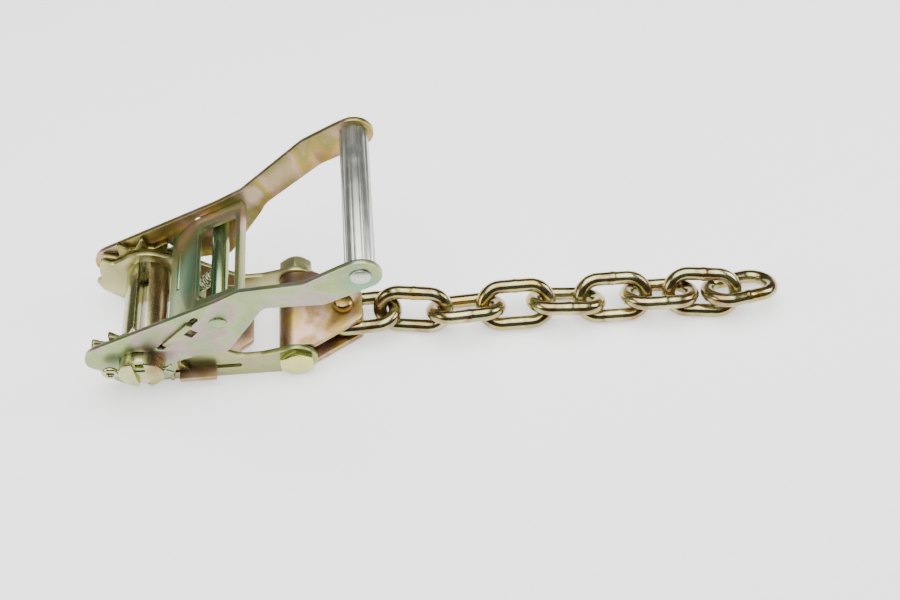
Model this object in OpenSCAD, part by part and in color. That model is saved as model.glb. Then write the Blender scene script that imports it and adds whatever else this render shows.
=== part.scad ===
// Ratchet buckle for 50 mm webbing with a long wide handle and a short anchor chain.
// Frame: origin on the spool axis, midway between the cheeks; +X towards the chain,
// +Y across the buckle along the spool, +Z up. Millimetres.

/* [Base] */
// Clear distance between the two cheeks, for 50 mm webbing
cheek_gap = 53.4; // [52.5:0.1:54]
// Thickness of the cheek plates
cheek_t = 2.8; // [2.6:0.1:2.8]
// Distance along the base from the spool axis to the anchor bolt
bolt_x = 85.5; // [84:0.5:88]
// Height of the anchor bolt axis against the spool axis
bolt_z = -16.8; // [-17.2:0.1:-16.4]
// Radius of the round end of a cheek
cheek_end_r = 12; // [11.5:0.1:12]
// Radius of the bolt shank
bolt_r = 6.3; // [6:0.05:6.35]
// Distance across the flats of the bolt head and the nut
hex_af = 18.6; // [18:0.1:19]

/* [Spool] */
// Outer radius of the pair of half-round bars
spool_r = 12.5; // [12:0.1:12.6]
// Width of the strap slot between the bars
slot_w = 6.6; // [6:0.1:7]
// How far a bar reaches past the middle plane
spool_half = 44; // [43:0.5:45]
// Tip radius of the ratchet wheels
tip_r = 28.3; // [28:0.1:28.4]
// Root radius of the ratchet wheels
root_r = 21.3; // [21:0.1:21.5]
// Thickness of a ratchet wheel
wheel_t = 3.2; // [3:0.1:3.2]

/* [Handle] */
// Rest tilt of the handle's straight upper edge
handle_tilt = 27.3; // [26:0.1:29]
// Thickness of the handle plates
handle_t = 2.8; // [2.5:0.1:3]
// Distance from the spool axis to the grip, along the handle
grip_u = 154; // [150:1:158]
// Height of the grip over the spool axis, square to the handle
grip_v = 19.5; // [18:0.5:20]
// How far each plate steps out between the pawl and the grip
handle_step = 13.7; // [12:0.1:15]
// Outer diameter of the grip tube
grip_d = 16; // [15:0.5:17]

/* [Pawls] */
// Thickness of both pawl plates
pawl_t = 3.5; // [3.3:0.1:3.5]
// Direction of the drive pawl's slots at rest, from the base line
drive_angle = 47.5; // [47:0.1:48]

/* [Chain] */
// Diameter of the chain bar
bar_d = 8.2; // [7.9:0.1:8.4]
// Inside length of a link, which is the pitch of the chain
link_pitch = 32; // [31.5:0.1:32.5]
// Inside width of a link
link_inner_w = 14.4; // [14:0.1:14.8]

/* [Hidden] */
$fn = 64;

zinc = [0.66, 0.65, 0.47];
zinc_dark = [0.52, 0.5, 0.33];
spring_steel = [0.75, 0.74, 0.66];
aluminium = [0.8, 0.81, 0.8];

// Play between a shaft and its bore, between sliding flats, and between links
fit = 0.08;
play = 0.3;

cheek_in = cheek_gap / 2;
cheek_out = cheek_in + cheek_t;
wheel_in = cheek_out + play;
wheel_out = wheel_in + wheel_t;
plate_in = wheel_out + play;
plate_out = plate_in + handle_t;
grip_half = plate_in + handle_step - 0.1;
floor_z = bolt_z - cheek_end_r;

// The locking pawl lies flat in slots through the cheeks
lock_z = -18.55;
lock_tip = 15.2;
ear_start = 17.9;
ear_end = 39;
lock_travel = 12;
lock_body_end = 60;
lock_window = [26, 54];
base_tab_x = 45;
base_tab_t = 2.5;

// The drive pawl's reach from the spool axis along its slot
drive_tip = tip_r + 1.1;
drive_engage = 5.3;
drive_bend = 53;
drive_slot = [17.6, 55.6];
drive_ear = [24.5, 48.6];
cross_rod = [59.1, 9.4];
cross_rod_r = 4.75;
tenon_r = 4.2;
// How far the handle swings down from rest to lie closed on the base
closed_swing = 30;

wrap_r = bolt_r + fit;
leaf_t = 4;
leaf_out = wrap_r + leaf_t;
pin_x = 28.5;
pin_r = 5.4;

// ---- helpers ----

// Draws a flat shape given in X and Z as a slab between two places along Y
module slab(y0, y1) {
    translate([0, y1, 0]) rotate([90, 0, 0]) linear_extrude(y1 - y0) children();
}

// Puts a near piece where a far piece is made
module near_side() { mirror([0, 1, 0]) children(); }

// Unit direction at an angle
function dir(a) = [cos(a), sin(a)];

// Points that round corner b, which lies between a and c, with radius r
function round_corner(a, b, c, r, n = 7) =
    let(u = (a - b) / norm(a - b), v = (c - b) / norm(c - b),
        half = acos(max(-1, min(1, u * v))) / 2,
        mid = (u + v) / norm(u + v),
        o = b + mid * (r / sin(half)),
        s = b + u * (r / tan(half)), e = b + v * (r / tan(half)),
        a0 = atan2(s[1] - o[1], s[0] - o[0]),
        turn = atan2(e[1] - o[1], e[0] - o[0]) - a0,
        sweep = turn > 180 ? turn - 360 : turn < -180 ? turn + 360 : turn)
    [for (i = [0:n]) o + r * dir(a0 + sweep * i / n)];

// An outline of corners [x, y, radius], with each corner that has a radius rounded
function rounded(c) =
    [for (i = [0:len(c) - 1])
        let(a = c[(i + len(c) - 1) % len(c)], b = c[i], d = c[(i + 1) % len(c)])
        each (b[2] > 0
            ? round_corner([a[0], a[1]], [b[0], b[1]], [d[0], d[1]], b[2])
            : [[b[0], b[1]]])];

// A round-ended slot from a to b
module long_slot(a, b, w) {
    for (p = [a, b]) translate(p) circle(d = w);
    translate(a) rotate(atan2(b[1] - a[1], b[0] - a[0]))
        translate([0, -w / 2]) square([norm(b - a), w]);
}

// The handle's own plane, u along it and v square to it
module in_handle() { rotate([0, -handle_tilt, 0]) children(); }

// A coil spring along +Z from 0 to h
module coil(r, wire, h, turns) {
    sides = 8;
    steps = 14 * turns;
    rings = [for (i = [0:steps])
        let(a = 360 * turns * i / steps, z = wire / 2 + (h - wire) * i / steps,
            lean = atan2((h - wire) / turns, 2 * PI * r))
        [for (k = [0:sides - 1])
            let(b = 360 * k / sides, q = (wire / 2) * dir(b))
            [(r + q[0]) * cos(a) + q[1] * sin(lean) * sin(a),
             (r + q[0]) * sin(a) - q[1] * sin(lean) * cos(a),
             z + q[1] * cos(lean)]]];
    walls = [for (i = [0:steps - 1], k = [0:sides - 1])
        let(j = (k + 1) % sides)
        each [[i * sides + k, i * sides + j, (i + 1) * sides + j],
              [i * sides + k, (i + 1) * sides + j, (i + 1) * sides + k]]];
    first = [for (k = [sides - 1:-1:0]) k];
    last = [for (k = [0:sides - 1]) steps * sides + k];
    polyhedron([for (ring = rings) each ring], concat(walls, [first, last]), convexity = 10);
}

// ---- base ----

module cheek_outline() {
    circle(r = 19);
    translate([bolt_x, bolt_z]) circle(r = cheek_end_r);
    // two horns with a notch between them, for holding the handle open
    polygon(rounded([[-10, 15.5, 0], [-18.5, 11, 3], [-25.2, 15, 1.2], [-27.6, 6, 4], [-27.6, -0.8, 1.5],
                     [-31.6, -4, 1.4], [-29, -13, 9], [-18, -24, 14], [-2, floor_z, 6],
                     [bolt_x, floor_z, 0], [bolt_x, bolt_z + cheek_end_r, 0], [66, -9.4, 14],
                     [54, -9.8, 10], [40, 0, 10], [30, 8, 8], [10, 16, 0]]));
}

module cheek() {
    slab(cheek_in, cheek_out) difference() {
        cheek_outline();
        circle(r = spool_r + fit);
        translate([bolt_x, bolt_z]) circle(r = bolt_r + fit);
        long_slot([lock_tip - 0.8, lock_z], [ear_end + lock_travel + 0.5, lock_z], pawl_t + 0.4);
        // the drive pawl drops in here when the handle is closed
        rotate(drive_angle - closed_swing)
            translate([drive_tip - drive_engage - 0.7, -pawl_t / 2 - 0.6]) square([20, pawl_t + 1.2]);
        // the tab of the cross plate is riveted in here
        translate([30, floor_z + 1.6]) square([14, 2.4]);
    }
}

module near_cheek() { color(zinc) near_side() cheek(); }
module far_cheek() { color(zinc) cheek(); }

// Ties the cheeks together under the locking pawl and carries its spring on an upright tab
module base_cross_plate() {
    bottom = floor_z + 1.6;
    color(zinc_dark) {
        difference() {
            translate([24, -cheek_in, bottom]) cube([24, cheek_gap, 2.4]);
            translate([32, 0, bottom - 1]) cylinder(r = 4, h = 5);
        }
        translate([30, -cheek_out, bottom]) cube([14, 2 * cheek_out, 2.4]);
        slab_x(base_tab_x, base_tab_x + base_tab_t) difference() {
            polygon(rounded([[-5.8, bottom, 0], [5.8, bottom, 0], [5.5, -12.5, 2.5], [-5.5, -12.5, 2.5]]));
            translate([0, lock_z]) circle(r = 1.2);
        }
    }
}

// Draws a flat shape given in Y and Z as a slab between two places along X
module slab_x(x0, x1) {
    translate([x0, 0, 0]) rotate([90, 0, 90]) linear_extrude(x1 - x0) children();
}

// A hex prism along Y with its corners taken off at the outer end
module hex_along_y(y, t) {
    across = hex_af / cos(30);
    intersection() {
        translate([0, y + t, 0]) rotate([90, 30, 0]) cylinder(d = across, h = t, $fn = 6);
        translate([0, y, 0]) rotate([-90, 0, 0]) union() {
            cylinder(d = across + 1, h = t - 1.2);
            translate([0, 0, t - 1.2]) cylinder(d1 = across + 0.4, d2 = hex_af - 1, h = 1.2);
        }
    }
}

module anchor_bolt() {
    color(zinc) translate([bolt_x, 0, bolt_z]) {
        near_side() hex_along_y(cheek_out, 4.6);
        translate([0, -cheek_out - 1, 0]) rotate([-90, 0, 0]) cylinder(r = bolt_r, h = 2 * cheek_out + 12.5);
        translate([0, cheek_out + 11.4, 0]) rotate([-90, 0, 0])
            cylinder(r1 = bolt_r, r2 = bolt_r - 1, h = 1.1);
    }
}

module anchor_nut() {
    color(zinc) translate([bolt_x, 0, bolt_z]) difference() {
        union() {
            translate([0, cheek_out, 0]) rotate([-90, 0, 0]) cylinder(r = 10.2, h = 1.6);
            translate([0, 1.4, 0]) hex_along_y(cheek_out, 7.6);
            translate([0, cheek_out + 9, 0]) rotate([-90, 0, 0]) cylinder(r1 = 8.6, r2 = 7.9, h = 1.6);
        }
        translate([0, cheek_out - 1, 0]) rotate([-90, 0, 0]) cylinder(r = bolt_r, h = 14);
    }
}

// ---- spool ----

module half_round(side) {
    intersection() {
        circle(r = spool_r);
        translate([side > 0 ? slot_w / 2 : -slot_w / 2 - 20, -20]) square([20, 40]);
    }
}

// A half-round bar with eased ends and the hole for the cotter pins
module spool_bar(side) {
    ease = 0.8;
    difference() {
        intersection() {
            slab(-spool_half, spool_half) half_round(side);
            rotate([90, 0, 0]) union() {
                cylinder(r = spool_r + 1, h = 2 * (spool_half - ease), center = true);
                for (s = [0, 1]) mirror([0, 0, s]) translate([0, 0, spool_half - ease])
                    cylinder(r1 = spool_r + 0.2, r2 = spool_r - ease, h = ease);
            }
        }
        for (y = [-cotter_y, cotter_y])
            translate([0, y, cotter_z]) rotate([0, 90, 0]) cylinder(d = cotter_d, h = 60, center = true);
    }
}

cotter_d = 3.4;
cotter_y = 40.6;
cotter_z = 0;

module spool_bar_rear() { color(zinc) spool_bar(-1); }
module spool_bar_front() { color(zinc) spool_bar(1); }

// A tooth has a steep working face on one side and a longer slope on its back
module wheel_outline() {
    face = -33.5;
    teeth = 12;
    difference() {
        polygon([for (i = [0:teeth - 1]) let(a = face + 360 / teeth * i)
            each [tip_r * dir(a - 27.5), root_r * dir(a - 15.5), root_r * dir(a - 6), tip_r * dir(a)]]);
        half_round(1);
        half_round(-1);
    }
}

module ratchet_wheel() { slab(wheel_in, wheel_out) wheel_outline(); }
module far_ratchet_wheel() { color(zinc_dark) ratchet_wheel(); }
module near_ratchet_wheel() { color(zinc_dark) near_side() ratchet_wheel(); }

// Fills the strap slot between the bar ends outside the cheeks, with a square window in its end
module spool_spacer() {
    difference() {
        slab(wheel_out, spool_half - 2.6) intersection() {
            circle(r = spool_r - 0.8);
            square([slot_w, 30], center = true);
        }
        translate([0, cotter_y, cotter_z]) rotate([0, 90, 0]) cylinder(d = cotter_d, h = 60, center = true);
        translate([-2.4, spool_half - 6, 3.4]) cube([4.8, 8, 4.6]);
    }
}

module far_spool_spacer() { color(zinc) spool_spacer(); }
module near_spool_spacer() { color(zinc) near_side() spool_spacer(); }

// A split pin: two legs through both bars, a ring at the rear and spread tips in front
module cotter_pin() {
    gap = 0.1;
    r = cotter_d / 2 - 0.05;
    translate([0, cotter_y, cotter_z]) {
        rotate([0, 90, 0]) difference() {
            cylinder(r = r, h = 2 * spool_r + 2, center = true);
            cube([2 * gap, 10, 60], center = true);
        }
        translate([-spool_r - 4.9, 0, 0]) rotate([90, 0, 0]) rotate_extrude() translate([3.3, 0]) circle(r = 1.5, $fn = 24);
        for (s = [-1, 1])
            translate([spool_r + 0.4, 0, s * 0.7]) rotate([0, 90 - s * 38, 0]) cylinder(r = 0.75, h = 5.5);
    }
}

module far_cotter_pin() { color(spring_steel) cotter_pin(); }
module near_cotter_pin() { color(spring_steel) near_side() cotter_pin(); }

// ---- handle ----

// Round end of the handle plates about the spool axis, and their upper edge there
plate_end_r = 23.8;
plate_low_top = 25;

// Side view of a handle plate, u along the upper edge and v square to it
module plate_outline() {
    top = grip_v + 11;
    difference() {
        polygon(rounded(concat(
            [[-27, 13, 7], [-22.5, plate_low_top + 0.8, 14], [66, plate_low_top, 50],
             [148, top, 30], [grip_u + 11, top, 10.9],
             [grip_u + 11, top - 22, 10.9], [89, top - 22, 10], [47, -16.5, 5], [30, -10, 12]],
            // rim round the spool, trimmed in front so that it clears the locking pawl
            [for (a = [332:-8:228]) [19.5 * cos(a), 19.5 * sin(a), 0]],
            [for (a = [224:-10:164]) [plate_end_r * cos(a), plate_end_r * sin(a), 0]])));
        circle(r = spool_r + fit);
        rotate(drive_angle - handle_tilt) {
            long_slot([drive_slot[0] + 2, 0], [drive_slot[1] - 2, 0], pawl_t + 0.4);
            // assembly notch beside the slot
            translate([38, -8]) square([6.5, 8]);
        }
        translate(cross_rod) circle(r = tenon_r);
        translate([grip_u, grip_v]) circle(r = 4.4);
    }
}

// Plan of a handle plate: flat, stepped outwards on a slope, flat again
function plate_plan(t) =
    let(a = 84, b = 126, y0 = plate_in, y1 = plate_in + handle_step)
    concat(rounded([[-60, y0, 0], [a, y0, 14], [b, y1, 10], [200, y1, 0],
                    [200, y1 + t, 0], [b, y1 + t, 14], [a, y0 + t, 10], [-60, y0 + t, 0]]));

module handle_plate() {
    in_handle() intersection() {
        slab(plate_in - 1, plate_out + handle_step + 1) plate_outline();
        translate([0, 0, -60]) linear_extrude(140) polygon(plate_plan(handle_t));
    }
}

module far_handle_plate() { color(zinc) handle_plate(); }
module near_handle_plate() { color(zinc) near_side() handle_plate(); }

// Fluted tube between the plates
module grip_tube() {
    color(aluminium) in_handle() translate([grip_u, 0, grip_v]) slab(-grip_half, grip_half) difference() {
        circle(d = grip_d);
        circle(r = 5.4);
        for (a = [0:36:324]) rotate(a + 10) translate([grip_d / 2 + 0.35, 0]) circle(r = 1, $fn = 24);
    }
}

// Runs through the tube and is riveted over both plates
module grip_rod() {
    far = plate_out + handle_step;
    color(aluminium) in_handle() translate([grip_u, 0, grip_v]) rotate([90, 0, 0]) {
        cylinder(r = 4.4, h = 2 * far, center = true);
        for (s = [0, 1]) mirror([0, 0, s]) translate([0, 0, far]) {
            cylinder(r = 5.4, h = 0.9);
            translate([0, 0, 0.9]) cylinder(r1 = 5.4, r2 = 3.6, h = 1);
        }
    }
}

module handle_cross_rod() {
    color(zinc) in_handle() translate([cross_rod[0], 0, cross_rod[1]]) rotate([90, 0, 0]) {
        cylinder(r = cross_rod_r, h = 2 * plate_in, center = true);
        cylinder(r = tenon_r, h = 2 * plate_out, center = true);
        for (s = [0, 1]) mirror([0, 0, s]) translate([0, 0, plate_out]) {
            cylinder(r = tenon_r + 0.3, h = 0.5);
            translate([0, 0, 0.5]) cylinder(r1 = tenon_r + 0.3, r2 = tenon_r - 1.2, h = 0.7);
        }
    }
}

// ---- drive pawl ----

// Along the pawl's slot: s outwards from the spool axis, p square to it
module in_slot() { rotate([0, -drive_angle, 0]) children(); }

// Plan of the panel: working edge over both wheels, and an ear at each side for the plate's slot
module drive_panel_outline(side, over) {
    half = [[drive_tip, 0, 0], [drive_tip, side, 0], [drive_ear[0], side, 0], [drive_ear[0], over, 0],
            [drive_ear[1], over, 1], [drive_ear[1], side, 0], [drive_bend, side, 0], [drive_bend, 0, 0]];
    for (s = [0, 1]) mirror([0, s]) polygon(rounded(half));
}

module drive_pawl() {
    side = plate_in - 0.2;
    over = plate_out + 1.4;
    bend = drive_angle - handle_tilt;
    reach = 30.3;
    lip = 5.5;
    color(zinc) in_slot() {
        translate([0, 0, -pawl_t / 2]) linear_extrude(pawl_t) drive_panel_outline(side, over);
        // stiffening rib pressed into the panel
        translate([37, -7, 1]) rotate([-90, 0, 0]) cylinder(r = 1.6, h = 25);
        // spring seat turned down under the panel
        translate([36, -6, -16]) cube([2.2, 12, 15]);
        // window frame along the handle, with the finger lip turned down at its end
        difference() {
            slab(-side + 0.1, side - 0.1) translate([drive_bend, 0]) rotate(-bend) {
                translate([-0.6, -pawl_t / 2]) square([reach + 0.6, pawl_t]);
                translate([reach - 2.8, pawl_t / 2 - lip]) square([2.8, lip]);
            }
            translate([drive_bend, 0, 0]) rotate([0, bend, 0]) translate([1.5, 0, -5]) linear_extrude(10)
                polygon(rounded([[0, -side + 8, 4], [reach - 4.6, -side + 8, 1],
                                 [reach - 4.6, side - 8, 1], [0, side - 8, 4]]));
        }
    }
}

module drive_pawl_spring() {
    from = 38.4;
    to = 53.7;
    color(spring_steel) in_slot() translate([from, 0, -11.5]) rotate([0, 90, 0])
        coil(3.4, 1, to - from, 6);
}

// ---- locking pawl ----

module locking_pawl() {
    ear = plate_out + 1.4;
    wheel = wheel_out - 0.1;
    inner = cheek_in - 0.3;
    color(zinc_dark) translate([0, 0, lock_z - pawl_t / 2]) linear_extrude(pawl_t) difference() {
        union() {
            // working edges under the wheels, then the ears that the hand or the handle pushes
            translate([lock_tip, -wheel]) square([ear_end - lock_tip, 2 * wheel]);
            translate([ear_start, -ear]) square([ear_end - ear_start, 2 * ear]);
            polygon(rounded([[lock_tip, -inner, 0], [51, -inner, 2], [52.5, -19, 3], [lock_body_end, -14, 3],
                             [lock_body_end, 14, 3], [52.5, 19, 3], [51, inner, 2], [lock_tip, inner, 0]]));
        }
        translate([lock_window[0], -6.5]) square([lock_window[1] - lock_window[0], 13]);
        // keeps clear of the webbing between the cheeks
        polygon([[lock_tip - 1, -inner + 2.5], [18, -inner + 4], [18, inner - 4], [lock_tip - 1, inner - 2.5]]);
    }
}

module locking_pawl_spring() {
    from = lock_window[0] + 0.2;
    to = base_tab_x - 0.2;
    color(spring_steel) translate([from, 0, lock_z]) rotate([0, 90, 0]) coil(3, 0.9, to - from, 6);
}

// ---- anchor ----

module leaf_outline() {
    half = cheek_in - 0.5;
    polygon(rounded([[0, -half, 0], [11, -half, 4], [39.5, -9.5, 4], [39.5, 9.5, 4],
                     [11, half, 4], [0, half, 0]]));
}

// Plate folded round the bolt, its two leaves reaching out for the chain
module anchor_plate() {
    half = cheek_in - 0.5;
    color(zinc) translate([bolt_x, 0, bolt_z]) difference() {
        union() {
            for (z = [wrap_r, -leaf_out]) translate([0, 0, z]) linear_extrude(leaf_t) leaf_outline();
            slab(-half, half) difference() {
                circle(r = leaf_out);
                circle(r = wrap_r);
                translate([0, -20]) square([40, 40]);
            }
        }
        translate([pin_x, 0, -20]) cylinder(r = pin_r, h = 40);
    }
}

// Pin that holds the first link, riveted below and standing proud above
module anchor_pin() {
    below = leaf_out + 0.8;
    color(zinc_dark) translate([bolt_x + pin_x, 0, bolt_z]) {
        translate([0, 0, -leaf_out]) cylinder(r = pin_r, h = 2 * leaf_out);
        translate([0, 0, leaf_out]) cylinder(r = pin_r + 0.3, h = 3.6);
        translate([0, 0, leaf_out + 3.6]) cylinder(r1 = pin_r + 0.3, r2 = pin_r - 0.9, h = 1);
        translate([0, 0, -below]) cylinder(r = pin_r + 0.6, h = 0.8);
    }
}

// ---- chain ----

bar_r = bar_d / 2;
bend_r = link_inner_w / 2 + bar_r;
straight = link_pitch + bar_d - 2 * bend_r;

// How each link lies: centre x, y and z, then roll about its length, dip of its front end, swing
link_lie = [
    [bolt_x + pin_x - pin_r - play + link_pitch / 2, 0, bolt_z + 0.2, -8, -4, 0],
    [155.2, -1.5, -14.2, 66, 0, -8],
    [186.5, -2.9, -14.9, -32, 3, 5],
    [216.6, -2.3, -15.2, 46, -1, 0],
    [246.9, -1.3, -16.7, -32, 4, -1],
    [275.5, -1, -16, 46, 0, 0],
    [304, -0.3, -17, -27, 2, 1],
    [329.7, -2, -15.9, 51, 0, -7],
    [352.9, -0.7, -16.4, -25, 5, 13]
];

// Welded link: two half rings joined by two straight bars
module chain_link(n) {
    lie = link_lie[n];
    color(zinc) translate([lie[0], lie[1], lie[2]]) rotate([lie[3], lie[4], lie[5]])
        for (s = [0, 1]) mirror([s, 0, 0]) {
            translate([straight / 2, 0, 0]) rotate([0, 0, -90])
                rotate_extrude(angle = 180) translate([bend_r, 0]) circle(r = bar_r);
            mirror([0, s, 0]) translate([-straight / 2, bend_r, 0]) rotate([0, 90, 0])
                cylinder(r = bar_r, h = straight);
        }
}

module chain_link_1() { chain_link(0); }
module chain_link_2() { chain_link(1); }
module chain_link_3() { chain_link(2); }
module chain_link_4() { chain_link(3); }
module chain_link_5() { chain_link(4); }
module chain_link_6() { chain_link(5); }
module chain_link_7() { chain_link(6); }
module chain_link_8() { chain_link(7); }
module chain_link_9() { chain_link(8); }

near_cheek();
far_cheek();
base_cross_plate();
anchor_bolt();
anchor_nut();
spool_bar_front();
spool_bar_rear();
near_ratchet_wheel();
far_ratchet_wheel();
near_spool_spacer();
far_spool_spacer();
near_cotter_pin();
far_cotter_pin();
near_handle_plate();
far_handle_plate();
grip_tube();
grip_rod();
handle_cross_rod();
drive_pawl();
drive_pawl_spring();
locking_pawl();
locking_pawl_spring();
anchor_plate();
anchor_pin();
chain_link_1();
chain_link_2();
chain_link_3();
chain_link_4();
chain_link_5();
chain_link_6();
chain_link_7();
chain_link_8();
chain_link_9();
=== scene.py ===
"""Looks of the ratchet buckle with its anchor chain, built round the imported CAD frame."""

import logging
import math
from dataclasses import dataclass, field
from enum import Enum
from typing import Optional, Union

import bmesh
import bpy
from mathutils import Matrix, Vector


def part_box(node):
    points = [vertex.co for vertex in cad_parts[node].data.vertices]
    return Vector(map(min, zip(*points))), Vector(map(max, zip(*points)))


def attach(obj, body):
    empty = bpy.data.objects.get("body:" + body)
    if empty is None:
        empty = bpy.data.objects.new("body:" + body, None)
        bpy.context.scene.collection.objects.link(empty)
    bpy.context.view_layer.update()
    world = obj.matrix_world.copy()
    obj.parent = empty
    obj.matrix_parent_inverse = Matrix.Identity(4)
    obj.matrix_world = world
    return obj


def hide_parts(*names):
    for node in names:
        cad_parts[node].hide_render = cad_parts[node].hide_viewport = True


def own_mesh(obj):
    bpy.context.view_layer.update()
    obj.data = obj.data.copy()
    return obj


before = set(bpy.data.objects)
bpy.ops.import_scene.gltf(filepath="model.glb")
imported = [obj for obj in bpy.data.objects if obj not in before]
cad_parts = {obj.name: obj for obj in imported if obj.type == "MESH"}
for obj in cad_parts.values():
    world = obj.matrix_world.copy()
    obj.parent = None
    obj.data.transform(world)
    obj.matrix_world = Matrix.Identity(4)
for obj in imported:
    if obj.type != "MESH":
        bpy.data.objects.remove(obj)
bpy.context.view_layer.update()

log = logging.getLogger("buckle")

MM = 0.001
Colour = tuple[float, float, float]
Link = Union["Value", bpy.types.NodeSocket, float, tuple, Vector]


class Slot(Enum):
    """The record's material slots."""

    YELLOW = "yellow_zinc"
    DARK = "dark_zinc"
    CHAIN = "chain_zinc"
    SPRING = "spring_steel"
    ALUMINIUM = "bare_aluminium"


# ---- shader maths -------------------------------------------------------------------------------


class Value:
    """A number socket on which Python's operators add Math nodes."""

    def __init__(self, shader: "Shader", socket: bpy.types.NodeSocket) -> None:
        """Wraps one output socket.

        Args:
            shader: the node tree's owner.
            socket: an output that carries one number.
        """
        self.shader = shader
        self.socket = socket

    def _math(self, operation: str, first: Link, second: Link) -> "Value":
        """Adds one Math node.

        Args:
            operation: the node's operation.
            first: its first input.
            second: its second input.

        Returns:
            The wrapped result.
        """
        made = self.shader.node("ShaderNodeMath", {"operation": operation}, {0: first, 1: second})
        return Value(self.shader, made.outputs[0])

    def __add__(self, other: Link) -> "Value":
        """self + other."""
        return self._math("ADD", self, other)

    __radd__ = __add__

    def __sub__(self, other: Link) -> "Value":
        """self - other."""
        return self._math("SUBTRACT", self, other)

    def __rsub__(self, other: Link) -> "Value":
        """other - self."""
        return self._math("SUBTRACT", other, self)

    def __mul__(self, other: Link) -> "Value":
        """self * other."""
        return self._math("MULTIPLY", self, other)

    __rmul__ = __mul__

    def ramp(self, low: float, high: float) -> "Value":
        """Runs smoothly from 0 at low to 1 at high.

        Args:
            low: the input that gives 0.
            high: the input that gives 1.

        Returns:
            The eased value.
        """
        made = self.shader.node(
            "ShaderNodeMapRange",
            {"interpolation_type": "SMOOTHSTEP"},
            {"Value": self, "From Min": low, "From Max": high},
        )
        return Value(self.shader, made.outputs[0])


class Shader:
    """Builds one material's node tree."""

    def __init__(self, name: str) -> None:
        """Starts an empty material.

        Args:
            name: the material's name.
        """
        self.material = bpy.data.materials.new(name)
        self.material.use_nodes = True
        self.tree = self.material.node_tree
        self.tree.nodes.clear()
        self.where = self.node("ShaderNodeTexCoord", {}, {}).outputs["Object"]

    def node(self, kind: str, settings: dict, inputs: dict) -> bpy.types.Node:
        """Adds a node.

        Args:
            kind: the node's type.
            settings: its own properties, set first; "stops" fills a colour ramp.
            inputs: socket name or number to a value or a link.

        Returns:
            The new node.
        """
        made = self.tree.nodes.new(kind)
        for key, value in settings.items():
            if key == "stops":
                elements = made.color_ramp.elements
                while len(elements) < len(value):
                    elements.new(0.5)
                for element, (place, colour) in zip(elements, value):
                    element.position = place
                    element.color = (*colour, 1.0)
            else:
                setattr(made, key, value)
        for key, value in inputs.items():
            socket = made.inputs[key]
            if isinstance(value, Value):
                value = value.socket
            if isinstance(value, bpy.types.NodeSocket):
                self.tree.links.new(value, socket)
            else:
                socket.default_value = value
        return made

    def noise(
        self, scale: float, detail: float = 3.0, stretch: Colour = (1, 1, 1), seed: float = 0.0
    ) -> Value:
        """Noise over the piece's own place.

        Args:
            scale: cells per metre.
            detail: octaves.
            stretch: how much the pattern is squeezed along each axis.
            seed: moves the pattern.

        Returns:
            A number from 0 to 1.
        """
        moved = {"Vector": self.where, "Scale": stretch, "Location": (seed,) * 3}
        place = self.node("ShaderNodeMapping", {}, moved).outputs[0]
        grain = {"Vector": place, "Scale": scale, "Detail": detail, "Roughness": 0.55}
        made = self.node("ShaderNodeTexNoise", {}, grain)
        return Value(self, made.outputs[0])

    def mix(self, factor: Link, first: Link, second: Link, blend: str = "MIX") -> bpy.types.NodeSocket:
        """Mixes two colours.

        Args:
            factor: 0 gives first, 1 gives second.
            first: a colour or a link.
            second: a colour or a link.
            blend: the blend mode.

        Returns:
            The colour socket.
        """
        sides = [(*side, 1.0) if isinstance(side, tuple) else side for side in (first, second)]
        settings = {"data_type": "RGBA", "blend_type": blend}
        made = self.node("ShaderNodeMix", settings, {0: factor, 6: sides[0], 7: sides[1]})
        return made.outputs[2]

    def stops(self, value: Value, colours: list[tuple[float, Colour]]) -> bpy.types.NodeSocket:
        """A colour ramp.

        Args:
            value: where to look along the ramp.
            colours: (place, colour) pairs.

        Returns:
            The colour socket.
        """
        return self.node("ShaderNodeValToRGB", {"stops": colours}, {0: value}).outputs[0]

    def edges(self, radius: float) -> Value:
        """1 on sharp edges and 0 on flats.

        Args:
            radius: how far from an edge it reaches, in metres.

        Returns:
            The mask.
        """
        bevel = self.node("ShaderNodeBevel", {"samples": 4}, {"Radius": radius})
        normal = self.node("ShaderNodeNewGeometry", {}, {}).outputs["Normal"]
        both = {0: bevel.outputs[0], 1: normal}
        dot = self.node("ShaderNodeVectorMath", {"operation": "DOT_PRODUCT"}, both)
        return (1.0 - Value(self, dot.outputs["Value"])).ramp(0.005, 0.12)

    def finish(
        self,
        colour: Link,
        roughness: Link,
        height: Optional[Value],
        bump: float,
        **constants: Union[float, tuple],
    ) -> None:
        """Joins the metal shader to the output.

        Args:
            colour: the base colour.
            roughness: the roughness.
            height: the bump's height, or None.
            bump: the bump's depth in metres.
            constants: other sockets of the shader by name, with _ for a space.
        """
        inputs: dict = {"Base Color": colour, "Roughness": roughness}
        if height is not None:
            depth = {"Height": height, "Distance": bump, "Strength": 1.0}
            made = self.node("ShaderNodeBump", {}, depth)
            inputs["Normal"] = made.outputs[0]
        for key, value in constants.items():
            inputs[key.replace("_", " ")] = value
        if isinstance(colour, tuple):
            inputs["Base Color"] = (*colour, 1.0)
        shader = self.node("ShaderNodeBsdfPrincipled", {}, inputs)
        self.node("ShaderNodeOutputMaterial", {}, {"Surface": shader.outputs[0]})


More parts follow.
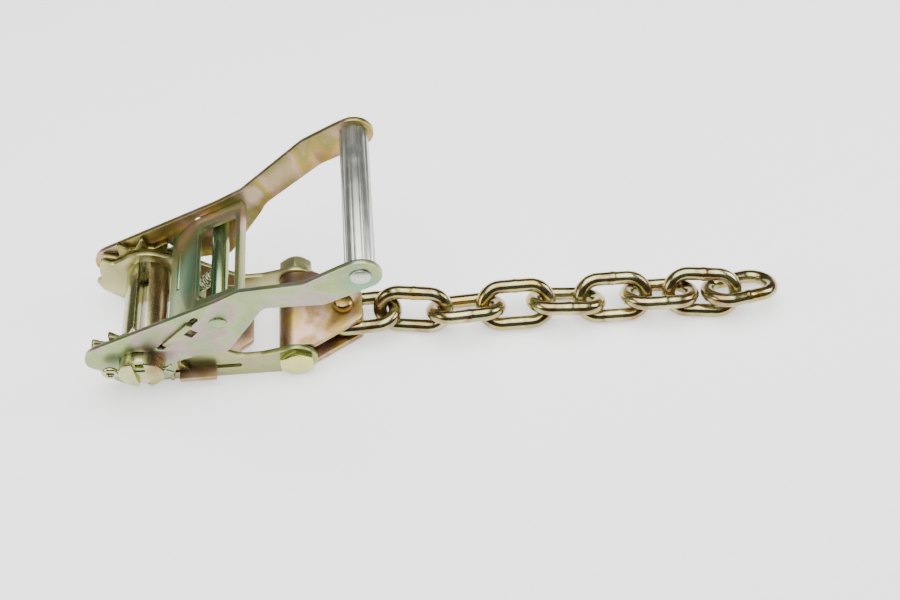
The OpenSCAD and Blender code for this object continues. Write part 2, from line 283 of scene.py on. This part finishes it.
@dataclass(frozen=True)
class ZincFinish:
    """Yellow passivated zinc: broad drifts between tints, fine mottling, and a painted highlight along
    sharp edges.
    """

    name: str
    tints: tuple[Colour, ...]
    # the painted highlight colour laid along sharp edges
    edge: Colour = (0.80, 0.76, 0.50)
    speckle: Colour = (0.40, 0.33, 0.10)
    speckle_share: float = 0.25
    drift: float = 22.0
    stretch: Colour = (1.0, 1.0, 1.0)
    roughness: float = 0.34
    seed: float = 0.0
    metallic: float = 0.93

    def material(self) -> bpy.types.Material:
        """Builds the material."""
        shader = Shader(self.name)
        broad = shader.noise(self.drift, 2.0, self.stretch, self.seed)
        spread = broad.ramp(0.3, 0.7)
        last = len(self.tints) - 1
        colour = shader.stops(spread, [(i / max(last, 1), tint) for i, tint in enumerate(self.tints)])
        blotch = shader.noise(120.0, 4.0, seed=self.seed + 3.1).ramp(0.5, 0.72)
        colour = shader.mix(blotch * self.speckle_share, colour, self.speckle)
        grain = shader.noise(900.0, 2.0, seed=self.seed + 7.7)
        colour = shader.mix(grain.ramp(0.35, 0.75) * 0.06, colour, (0.85, 0.83, 0.70))
        # painted highlight: the edge colour is mixed in along sharp edges, standing in for the light they
        # catch
        colour = shader.mix(shader.edges(0.0009) * 0.75, colour, self.edge)
        rough = (self.roughness - 0.07) + broad * 0.1 + grain * 0.09
        height = grain * 0.3 + shader.noise(200.0, 3.0, seed=self.seed + 1.3)
        shader.finish(colour, rough, height, 0.00004, Metallic=self.metallic)
        return shader.material


@dataclass(frozen=True)
class AluminiumFinish:
    """Bare extruded aluminium with fine lines along its length."""

    name: str = "bare_aluminium"
    along: Colour = (60.0, 1.0, 60.0)
    base: Colour = (0.50, 0.51, 0.46)
    dark: Colour = (0.27, 0.28, 0.25)

    def material(self) -> bpy.types.Material:
        """Builds the material."""
        shader = Shader(self.name)
        lines = shader.noise(12.0, 4.0, self.along)
        scuffs = shader.noise(160.0, 4.0, seed=2.0).ramp(0.45, 0.7)
        colour = shader.mix(lines.ramp(0.4, 0.7) * 0.45, self.base, self.dark)
        colour = shader.mix(scuffs * 0.2, colour, (0.70, 0.71, 0.66))
        rough = 0.24 + lines * 0.12 + scuffs * 0.1
        shader.finish(colour, rough, lines, 0.00005, Metallic=0.9)
        return shader.material


SAGE = (0.24, 0.29, 0.15)
PALE_SAGE = (0.31, 0.33, 0.21)
LILAC = (0.35, 0.25, 0.23)
TEAL = (0.16, 0.31, 0.17)
KHAKI = (0.34, 0.33, 0.15)
GREEN = (0.27, 0.33, 0.12)
OLIVE = (0.24, 0.21, 0.05)
DARK_OLIVE = (0.12, 0.10, 0.03)
GOLD = (0.40, 0.26, 0.06)
ORANGE = (0.55, 0.31, 0.11)
BROWN = (0.25, 0.15, 0.06)
PINK = (0.44, 0.29, 0.21)
LIME = (0.58, 0.58, 0.14)
STRAW = (0.50, 0.46, 0.22)


class Finishes:
    """Every material of the buckle, made once."""

    def __init__(self) -> None:
        """Builds the materials."""
        # painted highlight colours for the edges
        cream_edge_highlight = (0.72, 0.70, 0.45)
        gold_edge_highlight = (0.80, 0.76, 0.25)
        stripes = (OLIVE, PINK, GOLD, OLIVE, PINK, KHAKI)
        dark_tints = (OLIVE, DARK_OLIVE, KHAKI)
        brass = (GOLD, KHAKI, BROWN, STRAW)
        along_bar = (1.0, 0.15, 1.0)
        # the third colour of each finish is the painted highlight along its edges
        plan = (
            ZincFinish("near_plate", (TEAL, SAGE, GREEN, PALE_SAGE, LILAC, SAGE), cream_edge_highlight, GREEN, 0.2, 34),
            ZincFinish("far_plate", stripes, cream_edge_highlight, OLIVE, 0.4, 26, seed=1.7),
            ZincFinish("near_cheek", (GREEN, KHAKI, SAGE), LIME, OLIVE, 0.2, 20, seed=0.6),
            ZincFinish("far_cheek", (KHAKI, STRAW, GREEN), LIME, OLIVE, 0.2, 18, seed=4.2),
            ZincFinish("wheel", dark_tints, STRAW, DARK_OLIVE, 0.3, 60, roughness=0.24, seed=2.2),
            ZincFinish("rear_bar", (SAGE, STRAW, GREEN), LIME, KHAKI, 0.1, 40, along_bar, 0.22, 5.0),
            ZincFinish("front_bar", (OLIVE, KHAKI, BROWN), STRAW, OLIVE, 0.2, 40, along_bar, 0.22, 6.0),
            ZincFinish("pawl", (TEAL, SAGE, GREEN, PINK), STRAW, KHAKI, 0.2, 24, seed=3.0),
            ZincFinish("lock", (BROWN, PINK, BROWN), KHAKI, OLIVE, 0.3, 30, seed=8.0),
            ZincFinish("cross_rod", (GREEN, TEAL, PINK), STRAW, KHAKI, 0.1, 34, along_bar, 0.2, 9.0),
            ZincFinish("bolt", (LIME, STRAW, SAGE), gold_edge_highlight, KHAKI, 0.1, 45, roughness=0.22, seed=10.0),
            ZincFinish("nut", (KHAKI, STRAW), STRAW, OLIVE, 0.2, 45, roughness=0.42, seed=11.0),
            ZincFinish("anchor", (GOLD, PINK, BROWN, OLIVE), STRAW, BROWN, 0.7, 50, seed=12.0),
            ZincFinish("pin", (BROWN, GOLD, DARK_OLIVE), STRAW, OLIVE, 0.3, 60, roughness=0.2, seed=13.0),
            ZincFinish("chain", brass, cream_edge_highlight, OLIVE, 0.3, 42, roughness=0.17, seed=14.0),
            ZincFinish("spring", (STRAW, PALE_SAGE), cream_edge_highlight, KHAKI, 0.1, 60, roughness=0.2, seed=15.0),
        )
        self.made = {finish.name: finish.material() for finish in plan}
        self.made["aluminium"] = AluminiumFinish().material()

    def __getitem__(self, name: str) -> bpy.types.Material:
        """The material of that name."""
        return self.made[name]


# ---- meshes -------------------------------------------------------------------------------------


def link_object(name: str, mesh: bpy.types.Mesh) -> bpy.types.Object:
    """Puts a mesh in the scene as a new object."""
    piece = bpy.data.objects.new(name, mesh)
    bpy.context.scene.collection.objects.link(piece)
    return piece


def softened(node: str, name: str, width: float, segments: int = 2) -> bpy.types.Object:
    """Copies a CAD node with its sharp edges rounded over, as tumbling and plating leave them.

    Args:
        node: the CAD node.
        name: the new piece's name.
        width: how wide the rounding is, in metres.
        segments: how many faces run round an edge.

    Returns:
        The new piece.
    """
    shape = bmesh.new()
    shape.from_mesh(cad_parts[node].data)
    bmesh.ops.remove_doubles(shape, verts=shape.verts, dist=1e-6)
    bmesh.ops.dissolve_limit(shape, angle_limit=math.radians(0.5), verts=shape.verts, edges=shape.edges)
    mesh = bpy.data.meshes.new(name)
    shape.to_mesh(mesh)
    shape.free()
    piece = link_object(name, mesh)
    bevel = piece.modifiers.new("rounding", "BEVEL")
    bevel.width = width
    bevel.segments = segments
    bevel.limit_method = "ANGLE"
    bevel.angle_limit = math.radians(35)
    bevel.use_clamp_overlap = True
    bevel.harden_normals = False
    baked = bpy.data.meshes.new_from_object(piece.evaluated_get(bpy.context.evaluated_depsgraph_get()))
    piece.modifiers.clear()
    piece.data = baked
    smooth(piece, 30)
    return piece


def smooth(piece: bpy.types.Object, degrees: float) -> None:
    """Shades a piece smooth, with edges over that angle kept sharp."""
    mesh = piece.data
    mesh.shade_smooth()
    shape = bmesh.new()
    shape.from_mesh(mesh)
    for edge in shape.edges:
        if len(edge.link_faces) == 2 and edge.calc_face_angle(0.0) > math.radians(degrees):
            edge.smooth = False
    shape.to_mesh(mesh)
    shape.free()


def tube(name: str, path: list[Vector], radius: float, sides: int = 12) -> bpy.types.Object:
    """A round wire along a path, closed at both ends.

    Args:
        name: the piece's name.
        path: points along the middle.
        radius: the wire's radius.
        sides: how many sides it has.

    Returns:
        The new piece.
    """
    shape = bmesh.new()
    rings = []
    up = Vector((0.12, 0.9, 0.31)).normalized()
    for i, point in enumerate(path):
        along = (path[min(i + 1, len(path) - 1)] - path[max(i - 1, 0)]).normalized()
        across = along.cross(up).normalized()
        up = across.cross(along)
        rings.append(
            [
                shape.verts.new(
                    point
                    + radius
                    * (math.cos(math.tau * k / sides) * across + math.sin(math.tau * k / sides) * up)
                )
                for k in range(sides)
            ]
        )
    for low, high in zip(rings, rings[1:]):
        for k in range(sides):
            shape.faces.new((low[k], low[(k + 1) % sides], high[(k + 1) % sides], high[k]))
    shape.faces.new(rings[0][::-1])
    shape.faces.new(rings[-1])
    bmesh.ops.recalc_face_normals(shape, faces=shape.faces)
    mesh = bpy.data.meshes.new(name)
    shape.to_mesh(mesh)
    shape.free()
    piece = link_object(name, mesh)
    smooth(piece, 50)
    return piece


# ---- sub-assemblies -----------------------------------------------------------------------------


@dataclass
class Piece:
    """One CAD node dressed with a finish, and rounded over where it has sharp edges."""

    node: str
    body: str
    finish: str
    slot: Slot
    rounding: float = 0.35 * MM

    def build(self, finishes: Finishes) -> bpy.types.Object:
        """Makes the piece.

        Args:
            finishes: every material.

        Returns:
            The visible object.
        """
        piece = softened(self.node, f"{self.node}_skin", self.rounding)
        piece.data.materials.clear()
        piece.data.materials.append(finishes[self.finish])
        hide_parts(self.node)
        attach(piece, self.body)
        log.info("%s rides on %s", piece.name, self.body)
        return piece


@dataclass
class Base:
    """The cheeks, the cross plate, the bolt and its nut."""

    pieces: tuple[Piece, ...] = (
        Piece("near_cheek", "base", "near_cheek", Slot.YELLOW, 0.5 * MM),
        Piece("far_cheek", "base", "far_cheek", Slot.YELLOW, 0.5 * MM),
        Piece("base_cross_plate", "base", "lock", Slot.DARK),
        Piece("anchor_bolt", "base", "bolt", Slot.YELLOW, 0.4 * MM),
        Piece("anchor_nut", "base", "nut", Slot.YELLOW, 0.4 * MM),
    )

    def build(self, finishes: Finishes) -> None:
        """Makes and dresses the base."""
        for piece in self.pieces:
            piece.build(finishes)


@dataclass
class Spool:
    """The two bars, the wheels, the spacers and the split pins."""

    pieces: tuple[Piece, ...] = (
        Piece("spool_bar_rear", "spool", "rear_bar", Slot.YELLOW, 0.4 * MM),
        Piece("spool_bar_front", "spool", "front_bar", Slot.YELLOW, 0.4 * MM),
        Piece("near_ratchet_wheel", "spool", "wheel", Slot.DARK, 0.35 * MM),
        Piece("far_ratchet_wheel", "spool", "wheel", Slot.DARK, 0.35 * MM),
        Piece("near_spool_spacer", "spool", "rear_bar", Slot.YELLOW, 0.25 * MM),
        Piece("far_spool_spacer", "spool", "rear_bar", Slot.YELLOW, 0.25 * MM),
        Piece("near_cotter_pin", "spool", "spring", Slot.SPRING, 0.05 * MM),
        Piece("far_cotter_pin", "spool", "spring", Slot.SPRING, 0.05 * MM),
    )

    def build(self, finishes: Finishes) -> None:
        """Makes and dresses the spool."""
        for piece in self.pieces:
            piece.build(finishes)


@dataclass
class Handle:
    """The two stepped plates, the grip and the cross rod."""

    pieces: tuple[Piece, ...] = (
        Piece("near_handle_plate", "handle", "near_plate", Slot.YELLOW, 0.5 * MM),
        Piece("far_handle_plate", "handle", "far_plate", Slot.YELLOW, 0.5 * MM),
        Piece("grip_tube", "handle", "aluminium", Slot.ALUMINIUM, 0.12 * MM),
        Piece("grip_rod", "handle", "aluminium", Slot.ALUMINIUM, 0.3 * MM),
        Piece("handle_cross_rod", "handle", "cross_rod", Slot.YELLOW, 0.3 * MM),
    )

    def build(self, finishes: Finishes) -> None:
        """Makes and dresses the handle."""
        for piece in self.pieces:
            piece.build(finishes)


@dataclass
class CoilSpring:
    """A coil spring wound between two points beside its pawl."""

    node: str
    body: str
    joint: str
    start: Vector
    end: Vector
    radius: float
    wire: float
    keep: float
    turns: int = 6
    steps: int = 22
    crowding: float = 0.09

    def build(self, finishes: Finishes) -> bpy.types.Object:
        """Winds the spring from start to end, with closed end turns."""
        axis = (self.end - self.start).normalized()
        side = axis.cross(Vector((0, 1, 0))).normalized()
        other = axis.cross(side)
        length = (self.end - self.start).length - self.wire
        count = self.turns * self.steps
        path = []
        for i in range(count + 1):
            share = i / count
            eased = share - self.crowding * math.sin(math.tau * share)
            angle = math.tau * self.turns * share
            path.append(
                self.start
                + axis * (self.wire / 2 + length * min(max(eased, 0.0), 1.0))
                + self.radius * (math.cos(angle) * side + math.sin(angle) * other)
            )
        piece = tube(f"{self.node}_wire", path, self.wire / 2)
        piece.data.materials.append(finishes["spring"])
        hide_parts(self.node)
        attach(piece, self.body)
        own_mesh(piece)
        log.info("%s rides on %s", piece.name, self.body)
        return piece


@dataclass
class Pawls:
    """The drive pawl, the locking pawl and their springs."""

    pieces: tuple[Piece, ...] = (
        Piece("drive_pawl", "drive", "pawl", Slot.YELLOW, 0.45 * MM),
        Piece("locking_pawl", "lock", "lock", Slot.DARK, 0.4 * MM),
    )
    slot_angle: float = math.radians(47.5)
    drive_ends: tuple[float, float] = (38.4 * MM, 53.7 * MM)
    drive_drop: float = 11.5 * MM
    lock_ends: tuple[float, float] = (26.2 * MM, 44.8 * MM)
    lock_height: float = -18.55 * MM

    def build(self, finishes: Finishes) -> None:
        """Makes and dresses the pawls and their springs."""
        for piece in self.pieces:
            piece.build(finishes)
        along = Vector((math.cos(self.slot_angle), 0, math.sin(self.slot_angle)))
        below = Vector((along.z, 0, -along.x)) * self.drive_drop
        CoilSpring(
            "drive_pawl_spring",
            "handle",
            "drive_pawl_slide",
            along * self.drive_ends[0] + below,
            along * self.drive_ends[1] + below,
            3.4 * MM,
            1.0 * MM,
            0.645,
        ).build(finishes)
        CoilSpring(
            "locking_pawl_spring",
            "base",
            "locking_pawl_slide",
            Vector((self.lock_ends[0], 0, self.lock_height)),
            Vector((self.lock_ends[1], 0, self.lock_height)),
            3.0 * MM,
            0.9 * MM,
            0.46,
        ).build(finishes)


@dataclass
class Anchor:
    """The folded plate on the bolt and the pin that holds the first link."""

    pieces: tuple[Piece, ...] = (
        Piece("anchor_plate", "anchor", "anchor", Slot.YELLOW, 0.6 * MM),
        Piece("anchor_pin", "anchor", "pin", Slot.DARK, 0.4 * MM),
    )

    def build(self, finishes: Finishes) -> None:
        """Makes and dresses the anchor."""
        for piece in self.pieces:
            piece.build(finishes)


@dataclass
class Chain:
    """Nine welded links, each with a low bead where its bar was joined."""

    links: int = 9
    bar_radius: float = 4.1 * MM
    bend_radius: float = 11.3 * MM
    half_straight: float = 8.8 * MM
    around: int = 28
    bend_steps: int = 18
    straight_steps: int = 12
    bead_half: float = 1.6 * MM
    bead_height: float = 0.4 * MM

    def centreline(self) -> list[Vector]:
        """Points round the middle of the bar, in the link's own plane."""
        points = []
        for side in (1, -1):
            for i in range(self.straight_steps):
                share = i / self.straight_steps
                forward = self.half_straight * (2 * share - 1)
                points.append(Vector((side * forward, -side * self.bend_radius, 0)))
            for i in range(self.bend_steps):
                angle = math.pi * i / self.bend_steps - math.pi / 2
                points.append(
                    Vector(
                        (
                            side * (self.half_straight + self.bend_radius * math.cos(angle)),
                            side * self.bend_radius * math.sin(angle),
                            0,
                        )
                    )
                )
        return points

    def place(self, node: str) -> Matrix:
        """Where a link lies, found from its CAD solid.

        Args:
            node: the link's CAD node.

        Returns:
            The matrix from the link's own plane to the frame.
        """
        corners = [v.co.copy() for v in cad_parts[node].data.vertices]
        centre = sum(corners, Vector()) / len(corners)
        spread = Matrix(((0, 0, 0), (0, 0, 0), (0, 0, 0)))
        for corner in corners:
            arm = corner - centre
            for i in range(3):
                for j in range(3):
                    spread[i][j] += arm[i] * arm[j]
        low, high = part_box(node)
        long = self._strongest(spread, Vector((1, 0, 0)))
        reduced = spread.copy()
        strength = (spread @ long).length
        for i in range(3):
            for j in range(3):
                reduced[i][j] -= strength * long[i] * long[j]
        wide = self._strongest(reduced, Vector((0, 1, 0.3)))
        flat = long.cross(wide).normalized()
        turn = Matrix((long, wide, flat)).transposed().to_4x4()
        return Matrix.Translation((low + high) / 2) @ turn

    def _strongest(self, spread: Matrix, guess: Vector) -> Vector:
        """The direction in which the points spread most, by repeated products."""
        for _ in range(200):
            guess = (spread @ guess).normalized()
        return guess

    def build(self, finishes: Finishes) -> None:
        """Makes and dresses each link."""
        for number in range(1, self.links + 1):
            node = f"chain_link_{number}"
            piece = self.link(node, number)
            piece.data.materials.append(finishes["chain"])
            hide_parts(node)
            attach(piece, f"link_{number}")
            log.info("%s rides on link_%d", piece.name, number)

    def link(self, node: str, number: int) -> bpy.types.Object:
        """Sweeps the bar round one link.

        Args:
            node: the CAD node it stands for.
            number: counts from 1 and picks the side that the weld is on.

        Returns:
            The new piece.
        """
        shape = bmesh.new()
        line = self.centreline()
        weld_side = -1 if number % 2 else 1
        rings = []
        for i, point in enumerate(line):
            along = (line[(i + 1) % len(line)] - line[i - 1]).normalized()
            across = along.cross(Vector((0, 0, 1)))
            near_weld = abs(point.x) < self.bead_half and point.y * weld_side > 0
            bead = self.bead_height * (1 - (point.x / self.bead_half) ** 2) if near_weld else 0
            bar = self.bar_radius + bead
            ring = []
            for k in range(self.around):
                angle = math.tau * k / self.around
                outward = math.cos(angle) * across + math.sin(angle) * Vector((0, 0, 1))
                ring.append(shape.verts.new(point + bar * outward))
            rings.append(ring)
        for i, ring in enumerate(rings):
            following = rings[(i + 1) % len(rings)]
            for k in range(self.around):
                j = (k + 1) % self.around
                shape.faces.new((ring[k], ring[j], following[j], following[k]))
        bmesh.ops.recalc_face_normals(shape, faces=shape.faces)
        mesh = bpy.data.meshes.new(f"{node}_bar")
        shape.to_mesh(mesh)
        shape.free()
        mesh.transform(self.place(node))
        piece = link_object(f"{node}_bar", mesh)
        mesh.shade_smooth()
        return piece


@dataclass
class Studio:
    """The floor, the lights and the camera."""

    eye: Vector = field(default_factory=lambda: Vector((0.1433, -0.4011, 0.5655)))
    gaze: Vector = field(default_factory=lambda: Vector((0.0482, 0.5716, -0.8192)))
    roll: float = math.radians(0.085)
    lens: float = 47.2
    middle: Vector = field(default_factory=lambda: Vector((0.15, 0, 0.02)))
    horizon_light: float = 0.10
    zenith_light: float = 0.55
    floor_height: float = -28.85 * MM

    def build(self) -> None:
        """Makes the stage."""
        self._floor()
        self._lights()
        self._camera()

    def _floor(self) -> None:
        """A pale floor much larger than the buckle."""
        shape = bmesh.new()
        bmesh.ops.create_grid(shape, x_segments=2, y_segments=2, size=6.0)
        mesh = bpy.data.meshes.new("floor")
        shape.to_mesh(mesh)
        shape.free()
        floor = link_object("floor", mesh)
        floor.location = (0.2, 0.0, self.floor_height)
        shader = Shader("floor_white")
        glow = {"Emission_Color": (1.0, 1.0, 1.0, 1.0), "Emission_Strength": 0.9}
        shader.finish((0.95, 0.95, 0.95), 0.9, None, 0.0, **glow)
        floor.data.materials.append(shader.material)

    def _lights(self) -> None:
        """Soft boxes above, and a surround whose strength rises from the horizon to the zenith."""
        world = bpy.data.worlds.new("surround")
        world.use_nodes = True
        tree = world.node_tree
        where = tree.nodes.new("ShaderNodeTexCoord")
        parts = tree.nodes.new("ShaderNodeSeparateXYZ")
        sky = tree.nodes.new("ShaderNodeMapRange")
        sky.inputs["From Min"].default_value = 0.0
        sky.inputs["From Max"].default_value = 0.9
        sky.inputs["To Min"].default_value = self.horizon_light
        sky.inputs["To Max"].default_value = self.zenith_light
        tree.links.new(where.outputs["Generated"], parts.inputs[0])
        tree.links.new(parts.outputs["Z"], sky.inputs["Value"])
        tree.links.new(sky.outputs[0], tree.nodes["Background"].inputs["Strength"])
        bpy.context.scene.world = world
        plan = (
            ("top_box", (0.15, 0.05, 1.0), 1.1, 22.0),
            ("left_box", (-0.75, -0.25, 0.55), 0.45, 5.0),
            ("right_box", (0.95, 0.1, 0.5), 0.4, 4.0),
        )
        for name, place, size, power in plan:
            lamp = bpy.data.lights.new(name, "AREA")
            lamp.shape = "SQUARE"
            lamp.size = size
            lamp.energy = power
            box = bpy.data.objects.new(name, lamp)
            bpy.context.scene.collection.objects.link(box)
            box.location = place
            aim = self.middle - Vector(place)
            box.rotation_euler = aim.to_track_quat("-Z", "Y").to_euler()

    def _camera(self) -> None:
        """The camera that frames the buckle at the left and the chain to the right."""
        lens = bpy.data.cameras.new("camera")
        lens.lens = self.lens
        lens.sensor_width = 36.0
        lens.clip_start = 0.01
        camera = bpy.data.objects.new("camera", lens)
        bpy.context.scene.collection.objects.link(camera)
        turn = self.gaze.to_track_quat("-Z", "Y").to_matrix() @ Matrix.Rotation(self.roll, 3, "Z")
        camera.matrix_world = Matrix.Translation(self.eye) @ turn.to_4x4()
        bpy.context.scene.camera = camera


def main() -> None:
    """Builds the stage and every sub-assembly."""
    logging.basicConfig(level=logging.INFO, format="%(message)s")
    Studio().build()
    finishes = Finishes()
    for part in (Base(), Spool(), Handle(), Pawls(), Anchor(), Chain()):
        part.build(finishes)
    bpy.context.view_layer.update()


if __name__ == "__main__":
    main()
